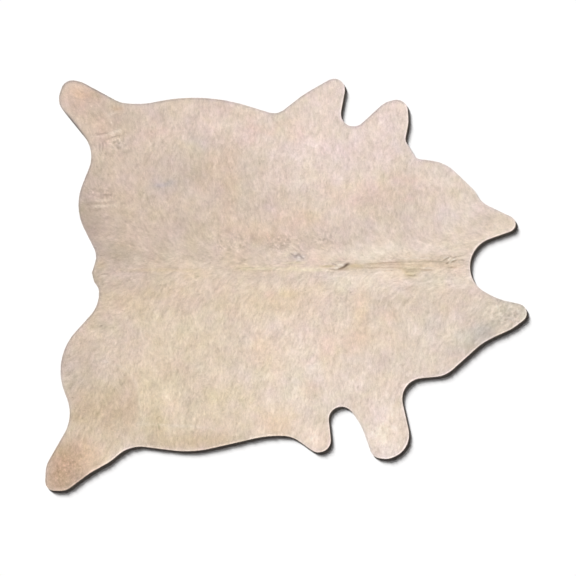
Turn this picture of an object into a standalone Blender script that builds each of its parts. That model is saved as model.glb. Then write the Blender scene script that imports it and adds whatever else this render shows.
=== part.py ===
"""A whole cowhide with its hair on, lying flat as a rug, hair side up.

Metres, +Z up. +X runs along the spine to the neck and +Y across it. The flesh
side lies on z = 0, and the origin is under the middle of the hide's box.
"""

import math

import bmesh
import bpy
import numpy as np
from mathutils import Vector
from mathutils.geometry import delaunay_2d_cdt

# Driving dimensions
HIDE_LENGTH = 2.120
HIDE_WIDTH = 1.812
SKIN_THICKNESS = 0.0020
COAT_DEPTH = 0.0025

# Spacing of the points along the edge, on the open hair side and along a crease
EDGE_STEP = 0.018
OPEN_STEP = 0.055
CREASE_STEP = 0.022

# The nearest that a crease point comes to the edge and to another crease, and an open point to any other
EDGE_CLEARANCE = 0.012
CREASE_CLEARANCE = 0.007
OPEN_CLEARANCE = OPEN_STEP / 3

# Where the rows of points along a crease lie, in half widths from its middle
CREASE_ROWS = (-1.8, -0.9, 0, 0.9, 1.8)

# The triangulation keeps only what lies inside the line
INSIDE_ONLY = 1

# Points nearer than this become one, and edges between faces steeper than this show as sharp
JOIN_DISTANCE = 1e-7
SHARP_ANGLE = math.radians(40)

HAIR_COLOUR = (0.72, 0.60, 0.48, 1.0)
HAIR_ROUGHNESS = 0.85

MM = 0.001

# The rim from the flesh side up: place, millimetres in from the edge line, share of the thickness there.
RIM = (
    ("flesh side", 1.5, 0.0),
    ("trimmed skin", 0.0, 0.27),
    ("hair over the trimmed skin", 1.2, 0.67),
    ("coat rounds over", 4.5, 0.93),
)

# The round stretches of the trimmed edge, clockwise, in millimetres: place, centre x, centre y and radius.
# A radius below zero is a hollow. Between two of them the edge is the straight line that touches both.
EDGE_ROUNDS = (
    ("upper hind leg, tail side", -918, 817, 80),
    ("upper hind leg, tip", -938, 847, 52),
    ("upper hind leg, belly side", -938, 777, 120),
    ("upper hind leg, root on the belly side", -700, 898, -100),
    ("upper flank", -655, 1175, -380),
    ("upper belly", -404, 37, 785),
    ("upper elbow, hollow", -53, 826, -72),
    ("upper elbow, belly side", 300, 503, 400),
    ("upper elbow, tip", 212, 859, 47),
    ("upper leg hollow", 297, 752, -56),
    ("upper fore leg, belly side", 488, 702, 110),
    ("upper fore leg, tip", 487, 764, 49),
    ("upper fore leg, neck side", 440, 720, 98),
    ("upper fore leg, root", 550, 640, -25),
    ("upper shoulder, hollow", 589, 577, -25),
    ("upper shoulder", 619, 365, 181),
    ("upper shoulder, neck side", 780, 378, 60),
    ("upper neck flap, root", 945, 453, -120),
    ("upper neck flap, tip", 975, 267, 35),
    ("neck edge", 938, 80, -129),
    ("lower neck flap, inner side", 1038, 220, -300),
    ("lower neck flap, tip", 1018, -125, 41),
    ("lower neck flap, underside", 933, -90, 120),
    ("lower neck flap, root", 1035, -505, -300),
    ("lower shoulder", 649, -280, 125),
    ("lower shoulder, hollow", 603, -502, -92),
    ("lower fore leg, neck side", 435, -659, 106),
    ("lower fore leg, tip", 439, -696, 70),
    ("lower fore leg, corner of the tip", 415, -718, 45),
    ("lower fore leg, belly side", 108, -735, -250),
    ("lower leg hollow", 244, -592, -56),
    ("lower elbow, tip", 143, -683, 54),
    ("lower elbow, hollow", -18, -794, -130),
    ("lower belly, hollow", -30, -1164, -500),
    ("lower belly", -440, -232, 500),
    ("lower flank", -640, -862, -150),
    ("lower hind leg, belly side", -856, -652, 150),
    ("lower hind leg, belly side, hollow", -782, -955, -150),
    ("lower hind leg, tip", -990, -836, 70),
    ("lower hind leg, corner of the tip", -1019, -866, 40),
    ("lower hind leg, tail side", -948, -827, 109),
    ("lower hind leg, root", -1130, -565, -179),
    ("lower thigh", -733, -379, 258),
    ("lower rump", -966, -38, -144),
    ("tail root, lower hollow", -862, -30, -40),
    ("tail root, lower corner", -835, 19, 10),
    ("tail root", -847, 52, 6),
    ("tail root, upper hollow", -918, 123, -83),
    ("upper thigh", -677, 352, 235),
    ("upper hind leg, root", -994, 564, -138),
)

# Ridges and troughs of the hair side, in millimetres: place, start x and y, end x and y, how far the middle
# bows to the left, half width, height. A height below zero is a trough.
CREASES = (
    ("spine, neck to whorl", 810, 82, 285, 94, -4, 30, 1.2),
    ("spine, whorl to rump", 190, 98, -790, 64, 12, 34, 1.0),
    ("spine, upper side line", 800, 118, 420, 104, 6, 14, 0.5),
    ("whorl", 232, 75, 275, 95, 3, 12, -1.2),
    ("back, short dent", 15, 135, 79, 109, -3, 12, -0.6),
    ("tail end, first wrinkle", -905, 414, -775, 403, 5, 8, 0.7),
    ("tail end, second wrinkle", -895, 386, -795, 377, 4, 8, 0.6),
    ("tail end, third wrinkle", -900, 356, -765, 342, 5, 8, 0.7),
    ("tail end, fourth wrinkle", -890, 324, -790, 318, 3, 8, 0.6),
    ("upper hind leg, root crease", -855, 652, -745, 664, 4, 11, 1.0),
    ("upper hind leg, second crease", -868, 698, -760, 738, 5, 11, 0.7),
    ("lower hind leg, sweep", -875, -335, -640, -575, 95, 16, 0.9),
    ("lower belly, long swell", -685, -615, -310, -640, 8, 16, 0.8),
    ("lower fore leg, root crease", 250, -500, 480, -470, 14, 18, 0.8),
    ("upper fore leg, root crease", 290, 610, 490, 600, -14, 18, 0.7),
    ("lower neck flap, first ripple", 905, -80, 880, -205, 3, 9, 0.8),
    ("lower neck flap, second ripple", 932, -86, 907, -196, 3, 9, 0.8),
    ("lower neck flap, third ripple", 959, -92, 936, -186, 3, 9, 0.8),
    ("lower neck flap, fourth ripple", 986, -97, 966, -176, 2, 9, 0.7),
    ("lower neck flap, fifth ripple", 1012, -103, 996, -166, 2, 9, 0.6),
)

# Broad swells of the hair side, in millimetres: place, centre x and y, radius, height.
SWELLS = (
    ("rump", -600, 250, 260, 0.8),
    ("back, hollow", -250, -100, 220, -0.5),
    ("belly", -100, -400, 300, 0.7),
    ("shoulder", 350, 350, 250, 0.6),
    ("neck", 800, -100, 180, 0.6),
    ("upper hind leg", -860, 760, 150, 0.8),
    ("lower thigh", -850, -400, 170, 0.9),
    ("lower fore leg", 430, -650, 110, 0.7),
)


def clear_scene():
    for obj in list(bpy.data.objects):
        bpy.data.objects.remove(obj, do_unlink=True)


def edge_line(rounds, step):
    """Points about step apart, clockwise, on the closed line of arcs and of the straights that touch them."""
    centres = np.array([(x, y) for _, x, y, _ in rounds]) * MM
    bends = np.array([radius for *_, radius in rounds]) * MM
    gaps = np.roll(centres, -1, axis=0) - centres
    turns = np.arcsin((bends - np.roll(bends, -1)) / np.linalg.norm(gaps, axis=1))
    headings = np.arctan2(gaps[:, 1], gaps[:, 0]) - turns
    points = []
    for centre, bend, arrive, leave in zip(centres, bends, np.roll(headings, 1), headings):
        sense = -np.sign(bend)
        sweep = sense * ((sense * (leave - arrive)) % (2 * math.pi))
        first = centre + bend * np.array((-math.sin(arrive), math.cos(arrive)))
        if points:
            points += straight_points(points[-1], first, step)
        for heading in np.linspace(arrive, arrive + sweep, max(2, round(abs(sweep * bend) / step)) + 1):
            points.append(centre + bend * np.array((-math.sin(heading), math.cos(heading))))
    points += straight_points(points[-1], points[0], step)
    return np.array(points)


def straight_points(start, end, step):
    """The points between two ends, without the ends."""
    count = max(1, round(np.linalg.norm(end - start) / step))
    return [start + (end - start) * share for share in np.arange(1, count) / count]


def fitted(line):
    """The line scaled to the hide's length and width, with the middle of its box on the origin."""
    low, high = line.min(axis=0), line.max(axis=0)
    return (line - (low + high) / 2) * (HIDE_LENGTH, HIDE_WIDTH) / (high - low)


def inset(line, distance):
    """The clockwise line moved inwards."""
    along = np.roll(line, -1, axis=0) - np.roll(line, 1, axis=0)
    along /= np.linalg.norm(along, axis=1)[:, None]
    return line + distance * np.stack((along[:, 1], -along[:, 0]), axis=1)


def crease_path(crease, share):
    """The place at a share of a crease's length, and the direction across it."""
    _, x1, y1, x2, y2, bow, _, _ = crease
    start, end = np.array((x1, y1)) * MM, np.array((x2, y2)) * MM
    along = (end - start) / np.linalg.norm(end - start)
    across = np.array((-along[1], along[0]))
    return start + (end - start) * share + across * bow * MM * math.sin(math.pi * share), across


def crease_height(points, crease):
    """A soft rounded section about the crease's line, running out at both its ends."""
    _, x1, y1, x2, y2, bow, half_width, height = crease
    start, end = np.array((x1, y1)) * MM, np.array((x2, y2)) * MM
    length = np.linalg.norm(end - start)
    along = (end - start) / length
    offset = points - start
    share = offset @ along / length
    inside = np.clip(share, 0, 1)
    aside = offset @ np.array((-along[1], along[0])) - bow * MM * np.sin(np.pi * inside)
    section = np.cos(np.clip(aside / (2 * half_width * MM), -1, 1) * np.pi / 2) ** 4
    run_out = np.sqrt(np.sin(np.pi * inside)) * (share == inside)
    return height * MM * section * run_out


def swell_height(points, swell):
    _, x, y, radius, height = swell
    far = np.linalg.norm(points - np.array((x, y)) * MM, axis=1) / (radius * MM)
    return height * MM * (1 - np.clip(far, 0, 1) ** 2) ** 2


def thickness(points):
    """Skin and coat together at each point, with the creases and swells."""
    total = np.full(len(points), SKIN_THICKNESS + COAT_DEPTH)
    for crease in CREASES:
        total += crease_height(points, crease)
    for swell in SWELLS:
        total += swell_height(points, swell)
    return total


def distance_to_line(points, line):
    """How far each point is from the closed line."""
    ends = np.roll(line, -1, axis=0)
    nearest = np.full(len(points), np.inf)
    for start, end in zip(line, ends):
        span = end - start
        share = np.clip((points - start) @ span / (span @ span), 0, 1)
        nearest = np.minimum(nearest, np.linalg.norm(points - start - share[:, None] * span, axis=1))
    return nearest


def inside_line(points, line):
    """Which points the closed line goes round."""
    crossings = np.zeros(len(points), int)
    for (x1, y1), (x2, y2) in zip(line, np.roll(line, -1, axis=0)):
        if y1 != y2:
            spans = (y1 > points[:, 1]) != (y2 > points[:, 1])
            crossings += spans & (points[:, 0] < x1 + (points[:, 1] - y1) * (x2 - x1) / (y2 - y1))
    return crossings % 2 == 1


def far_from(points, others, distance):
    """The points that keep the distance from all the others."""
    gaps = np.linalg.norm(points[:, None] - others[None], axis=2)
    return points[gaps.min(axis=1) >= distance]


def crease_points(line):
    """Rows of points along each crease, on its crown, at its half width and at its foot."""
    kept = np.empty((0, 2))
    for crease in CREASES:
        half_width = crease[6] * MM
        length = math.hypot(crease[3] - crease[1], crease[4] - crease[2]) * MM
        steps = max(3, round(length / CREASE_STEP))
        row = []
        for share in np.linspace(0, 1, steps + 1):
            place, across = crease_path(crease, share)
            row += [place + across * half_width * side for side in CREASE_ROWS]
        row = np.array(row)
        if len(kept):
            row = far_from(row, kept, CREASE_CLEARANCE)
        kept = np.vstack((kept, row))
    kept = kept[inside_line(kept, line)]
    return kept[distance_to_line(kept, line) > EDGE_CLEARANCE]


def open_points(line, taken):
    """An even net of points over the rest of the hair side."""
    row_gap = OPEN_STEP * math.sqrt(3) / 2
    net = [
        (x + (row % 2) * OPEN_STEP / 2, y)
        for row, y in enumerate(np.arange(-HIDE_WIDTH / 2, HIDE_WIDTH / 2, row_gap))
        for x in np.arange(-HIDE_LENGTH / 2, HIDE_LENGTH / 2, OPEN_STEP)
    ]
    net = np.array(net)
    net = net[inside_line(net, line)]
    net = net[distance_to_line(net, line) > OPEN_CLEARANCE]
    return far_from(net, taken, OPEN_CLEARANCE)


def triangles_within(line, inner):
    """Triangles over the line's points, which come first, and the inner ones, all facing up."""
    flat = [Vector(point) for point in np.vstack((line, inner)).tolist()]
    around = list(range(len(line)))
    _, _, faces, origins, _, _ = delaunay_2d_cdt(flat, [], [around[::-1]], INSIDE_ONLY, JOIN_DISTANCE)
    named = [origin[0] for origin in origins]
    return [[named[corner] for corner in face] for face in faces]


def hide_mesh():
    """The closed solid: the flat flesh side, the rounded rim and the uneven hair side."""
    line = fitted(edge_line(EDGE_ROUNDS, EDGE_STEP))
    rings = [inset(line, distance * MM) for _, distance, _ in RIM]
    creased = crease_points(rings[-1])
    inner = np.vstack((creased, open_points(rings[-1], creased)))

    mesh = bmesh.new()
    ring_verts = []
    for ring, (_, _, share) in zip(rings, RIM):
        heights = thickness(ring) * share
        ring_verts.append([mesh.verts.new((x, y, z)) for (x, y), z in zip(ring, heights)])
    inner_verts = [mesh.verts.new((x, y, z)) for (x, y), z in zip(inner, thickness(inner))]

    for below, above in zip(ring_verts, ring_verts[1:]):
        for i in range(len(line)):
            mesh.faces.new((below[i - 1], above[i - 1], above[i], below[i]))
    top = ring_verts[-1] + inner_verts
    for face in triangles_within(rings[-1], inner):
        mesh.faces.new([top[corner] for corner in face])
    for face in triangles_within(rings[0], np.empty((0, 2))):
        mesh.faces.new([ring_verts[0][corner] for corner in face[::-1]])
    bmesh.ops.recalc_face_normals(mesh, faces=mesh.faces)
    return mesh


def hair_material():
    material = bpy.data.materials.new("cowhide_hair")
    material.use_nodes = True
    shader = material.node_tree.nodes["Principled BSDF"]
    shader.inputs["Base Color"].default_value = HAIR_COLOUR
    shader.inputs["Roughness"].default_value = HAIR_ROUGHNESS
    shader.inputs["Metallic"].default_value = 0.0
    return material


def build_hide():
    """The hide as one object, smooth over its hair side and sharp where its rim meets the flesh side."""
    mesh = bpy.data.meshes.new("cowhide")
    solid = hide_mesh()
    solid.to_mesh(mesh)
    solid.free()
    mesh.materials.append(hair_material())
    mesh.shade_smooth()
    mesh.set_sharp_from_angle(angle=SHARP_ANGLE)
    hide = bpy.data.objects.new("cowhide", mesh)
    bpy.context.scene.collection.objects.link(hide)
    return hide


def main():
    clear_scene()
    build_hide()


main()
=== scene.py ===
"""Looks of the cowhide rug: its lying coat of short hair, its trimmed edge and its suede flesh side.

The hide is a thin closed sheet on the solid's own outline and height. Locks of hair lie over it, drawn out
along the way that the coat lies, and take their colour from listed areas and marks.
"""

import math

import bpy
import numpy as np
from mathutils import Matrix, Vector
from mathutils.geometry import delaunay_2d_cdt


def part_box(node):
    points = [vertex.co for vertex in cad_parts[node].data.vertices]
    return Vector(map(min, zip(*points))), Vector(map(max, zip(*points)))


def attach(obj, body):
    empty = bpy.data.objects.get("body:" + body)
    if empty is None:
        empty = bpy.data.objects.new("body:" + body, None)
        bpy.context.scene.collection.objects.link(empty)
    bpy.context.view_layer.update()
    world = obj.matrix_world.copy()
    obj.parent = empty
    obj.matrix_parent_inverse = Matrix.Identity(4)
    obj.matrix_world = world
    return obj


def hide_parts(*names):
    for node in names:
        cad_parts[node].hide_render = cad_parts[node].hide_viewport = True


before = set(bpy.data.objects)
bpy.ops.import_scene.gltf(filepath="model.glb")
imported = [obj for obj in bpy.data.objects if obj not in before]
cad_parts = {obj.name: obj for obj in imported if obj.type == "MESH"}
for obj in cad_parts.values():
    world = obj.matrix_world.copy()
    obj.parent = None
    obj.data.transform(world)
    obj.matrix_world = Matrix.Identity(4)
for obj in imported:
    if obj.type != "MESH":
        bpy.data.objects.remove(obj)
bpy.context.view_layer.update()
rng = np.random.default_rng(11)

MM = 0.001
HIDE_LOW, HIDE_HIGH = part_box("cowhide")

# Skin and coat, and how far the sheet stays below the coat's outside, to leave room for the locks
SKIN = 0.0020
COAT = 0.0025
LOCK_ROOM = 0.0011

# How wide the coat's rounding is, what share of the coat is left at the edge, how steeply hair droops past it
EDGE_ROUNDING = 0.008
LEFT_AT_EDGE = 0.15
DROOP = 0.30

# How high the tufts and the streaks stand
TUFT_HEIGHT = 0.00022
STREAK_HEIGHT = 0.00020

# The sheet's net before it is split twice: its step inside and along the edge, how far in it begins, and from
# which angle on a bend is sharp
SHEET_STEP = 0.028
EDGE_STEP = 0.012
NET_INSET = 0.010
SHARP_BEND = math.radians(50)

# How far in from the edge line the solid's flesh side and the sheet's top end
FLESH_INSET = 0.0015
COAT_INSET = 0.0012

# How finely the solid's corners are told apart, and how many steps a curve has between two points
KEYS_PER_METRE = 1e5
CURVE_STEPS = 8

# The rim below the sheet's top: place, millimetres in from the edge, height
RIM = (
    ("coat's last hairs", 0.3, 2.0),
    ("skin, upper corner", 0.0, 1.8),
    ("skin, lower corner", 0.0, 0.4),
    ("flesh side", 0.9, 0.0),
)

# The sheet's map for baking: its margin, and how much wider than the hide each half of it is
MAP_MARGIN = 0.02
MAP_SPARE = 0.05

# The coat's pieces, from the tail to the neck, each a like share of the locks
COAT_PIECES = ("coat_rump", "coat_loins", "coat_ribs", "coat_withers", "coat_neck")

# The grid on which colours, heights and the lie of the hair are worked out
GRID_STEP = 0.0025
GRID_MARGIN = 0.030
EDGE_REACH = 0.025

# Locks of hair, closer together and shorter in a band along the edge
LOCK_STEP = 0.00275
LOCK_LENGTH = (0.007, 0.013)
LOCK_WIDTH = (0.0018, 0.0031)
LOCK_STRAY = math.radians(12)
TIP_STRAY = math.radians(15)
SHORTEST_LOCK = 0.003
LOWEST_HAIR = 0.0004
ROOT_INSET = 0.0008
EDGE_BAND = 0.009
EDGE_LOCK = 0.0045

# What share of its way to the edge a lock fills, how far its tip reaches past the edge, between which shares
# of that, and how much it is cut back for what is past
EDGE_SHARE = 0.9
OVERHANG = 0.0015
OVERHANG_SHARES = (0.4, 1.4)
CUT_BACK = 1.2

# Where a lock is widest, how deep its root and middle are, its tip's lift and its sides' tilt in millimetres
WIDEST = 0.45
ROOT_SINK = 0.0003
MIDDLE_SINK = 0.00015
TIP_LIFT = (0.1, 0.8)
SIDE_TILT = 0.20

# Locks on top along the thin marks: up to what half width in millimetres, how many to a metre, how high, how
# long and how straying beside the others, and how far they spread over the mark and sway from its way
THIN_MARK = 5
LOCKS_ALONG_MARK = 900
MARK_RISE = 0.0005
MARK_LENGTH = 0.8
MARK_STRAY = 0.2
MARK_SPREAD = 0.4
MARK_SWAY = 0.06

# How locks differ in lightness, how light each is at its root, sides and tip, and the under coat beside them
LOCK_VARIETY = 0.047
LOCK_SHADES = (0.90, 1.0, 1.0, 1.05)
UNDER_COAT_SHARE = 0.94

# How much shorter and more varied locks are for each unit of a crimp's strength, and the most that they shorten
CRIMP_SHORTER = 4
CRIMP_VARIETY = 1.2
MOST_SHORTER = 0.45

# The photograph's frame: its size, its scale on the hide and the place of its middle
PHOTO_SIZE = 576
PIXEL = 0.0044
VIEW_CENTRE = (0.0088, -0.0145)
CAMERA_HEIGHT = 6.0
SENSOR_WIDTH = 36.0

# Distant soft lights on the coat and the floor: name, azimuth, elevation and spread in degrees, share of light
COAT_LIGHTS = (("key_light", 310, 23, 18, 0.46), ("top_light", 120, 75, 60, 0.56))
FLOOR_LIGHTS = (("floor_light", 127, 5.7, 3.6, 0.84), ("floor_fill", 127, 9.0, 4.4, 0.18))

# The colour of the light all round, how far the floor reaches, and how far below the hide it lies
WARM_LIGHT = (1, 0.86, 0.80, 1)
FLOOR_HALF_SIZE = 15
FLOOR_DROP = 0.0003

# Colours of the coat and of the flesh side as they look on a screen, and how light the floor is
HAIR = {
    "cream": (226, 207, 190),
    "ivory": (238, 222, 206),
    "milk": (250, 240, 228),
    "blush": (233, 213, 202),
    "rose": (230, 200, 187),
    "custard": (228, 209, 181),
    "straw": (214, 192, 152),
    "sand": (220, 194, 164),
    "fawn": (211, 190, 172),
    "taupe": (196, 177, 161),
    "dusk": (184, 165, 150),
    "stone": (212, 202, 190),
    "tan": (190, 161, 134),
    "rust": (184, 152, 122),
    "slate": (166, 160, 166),
    "ash": (156, 140, 134),
    "olive": (172, 162, 130),
    "moss": (156, 138, 104),
    "butter": (240, 227, 196),
    "umber": (122, 93, 56),
    "dark umber": (74, 48, 22),
    # The grey of a painted shade along parts of the edge
    "painted edge shade": (88, 84, 82),
}
SUEDE = (206, 192, 172)
FLOOR = 0.96

# How far along its soft noise the suede has its darker and its lighter tone, and their shares of its colour
SUEDE_ENDS = ((0.3, (0.80, 0.76, 0.70)), (0.7, (1.1, 1.1, 1.1)))

# How far darker and lighter hair moves in red, green and blue, and the coat's balance between them
TONE_SHARES = (0.97, 1.0, 1.15)
COAT_BALANCE = (1.000, 1.016, 1.033)

# Noise drawn out along the hair: its size and how far it is drawn out
STRAND_NOISE = (0.003, 0.014)
TUFT_NOISE = (0.007, 0.022)
STREAK_NOISE = (0.016, 0.070)
COMBED_NOISE = (0.003, 0.070)

# How strongly the strands, tufts, streaks and a grain of that size change the coat's tone
STRAND_TONE = 0.033
TUFT_TONE = 0.034
STREAK_TONE = 0.016
GRAIN_TONE = 0.031
GRAIN = 0.005

# Soft noise, its size and its strength: on the tone, the green and the blue, then how many degrees it turns the
# lie of the hair and how many metres it moves areas and marks
MOTTLING = ((0.030, 0.016), (0.050, 0.014))
GREEN_PATCHES = ((0.020, 0.0060), (0.040, 0.0070), (0.080, 0.0060))
BLUE_PATCHES = ((0.020, 0.0100), (0.040, 0.0130), (0.080, 0.0130))
LIE_WANDER = ((0.12, 7), (0.035, 6))
AREA_WANDER = ((0.10, 0.016), (0.03, 0.005))
MARK_WANDER = (0.02, 0.0012)

# How quickly an area ends: the higher, the more sharply
AREA_ENDS = 1.3

# Areas of the coat, each over those before: colour, share, centre x and y, half length and half width in
# millimetres, and for some a turn in degrees
AREAS = {
    "hind half and tail edge": (
        ("fawn", 0.95, -720, 230, 520, 560), ("taupe", 0.85, -900, 250, 150, 320),
        ("taupe", 0.5, -930, -330, 90, 170), ("tan", 0.4, -890, -530, 60, 90),
    ),
    "flanks, loin and belly": (
        ("taupe", 0.45, -370, 520, 150, 120, 20), ("taupe", 0.4, -190, 430, 190, 120),
        ("fawn", 0.55, -290, 200, 300, 110), ("custard", 0.7, -500, -330, 330, 330),
        ("custard", 0.6, -200, -560, 380, 120, 5),
    ),
    "lower thigh and hind leg": (
        ("straw", 0.42, -830, -540, 130, 170, -20), ("tan", 0.2, -700, -570, 90, 70),
        ("tan", 0.75, -930, -790, 150, 110, 40), ("tan", 0.6, -1010, -850, 70, 60),
    ),
    "upper hind leg": (
        ("fawn", 0.8, -880, 800, 170, 90, -30), ("taupe", 0.5, -770, 740, 150, 70, -20),
        ("rose", 0.35, -960, 840, 60, 60),
    ),
    "upper ribs, elbow and fore leg": (
        ("blush", 0.8, 120, 620, 330, 210), ("blush", 0.8, 210, 840, 90, 90),
        ("blush", 0.85, 450, 680, 130, 150),
    ),
    "upper shoulder and neck": (
        ("taupe", 0.35, 400, 330, 190, 100, 5), ("taupe", 0.35, 130, 230, 190, 55),
        ("cream", 0.4, 620, 360, 220, 140, -20), ("blush", 0.45, 880, 290, 130, 80, -20),
    ),
    "mane and lower side of the neck": (
        ("ivory", 0.65, 460, 140, 330, 36), ("ivory", 0.9, 370, 5, 360, 50),
        ("ivory", 0.55, 713, 0, 110, 60),
    ),
    "lower ribs, brisket and fore leg": (
        ("ivory", 0.5, 80, -240, 360, 150), ("ivory", 0.65, 150, -440, 280, 160),
        ("blush", 0.8, 450, -640, 110, 170), ("ivory", 0.6, 450, -730, 80, 60),
    ),
    "lower shoulder and neck flap": (
        ("ivory", 0.4, 640, -260, 200, 140), ("stone", 0.65, 830, -215, 110, 60, 30),
        ("stone", 0.45, 980, -130, 90, 45, -10),
    ),
    "rose patches": (
        ("rose", 0.45, 500, 470, 60, 24), ("rose", 0.4, 365, 288, 30, 16), ("rose", 0.35, 540, 358, 34, 18),
        ("rose", 0.5, -60, 690, 120, 26, 5), ("rose", 0.3, -150, 660, 18, 80),
        ("rose", 0.35, -560, 640, 60, 26), ("rose", 0.45, -55, -17, 34, 22),
        ("rose", 0.3, -215, 140, 30, 26), ("rose", 0.4, -86, 190, 9, 34), ("rose", 0.3, 90, -320, 60, 26),
        ("rose", 0.35, 535, -28, 34, 24),
    ),
    "straw, tan, olive and slate patches": (
        ("straw", 0.25, -620, -40, 130, 30), ("straw", 0.3, 25, -10, 34, 26),
        ("custard", 0.4, 580, -20, 60, 26), ("straw", 0.3, -420, 610, 50, 30),
        ("tan", 0.35, -805, 92, 22, 30), ("olive", 0.45, -885, 318, 34, 20),
        ("slate", 0.35, -525, 432, 50, 14), ("olive", 0.25, -830, -165, 80, 12),
    ),
    "patches of the upper hind leg": (
        ("sand", 0.12, -808, 694, 44, 40), ("sand", 0.4, -928, 850, 40, 24, -26),
        ("olive", 0.3, -871, 843, 26, 16, -26), ("sand", 0.5, -752, 782, 36, 20, -20),
    ),
    "straw hair of the mane": (
        ("straw", 0.3, 580, 78, 150, 34), ("straw", 0.45, 536, 54, 34, 12),
    ),
}

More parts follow.
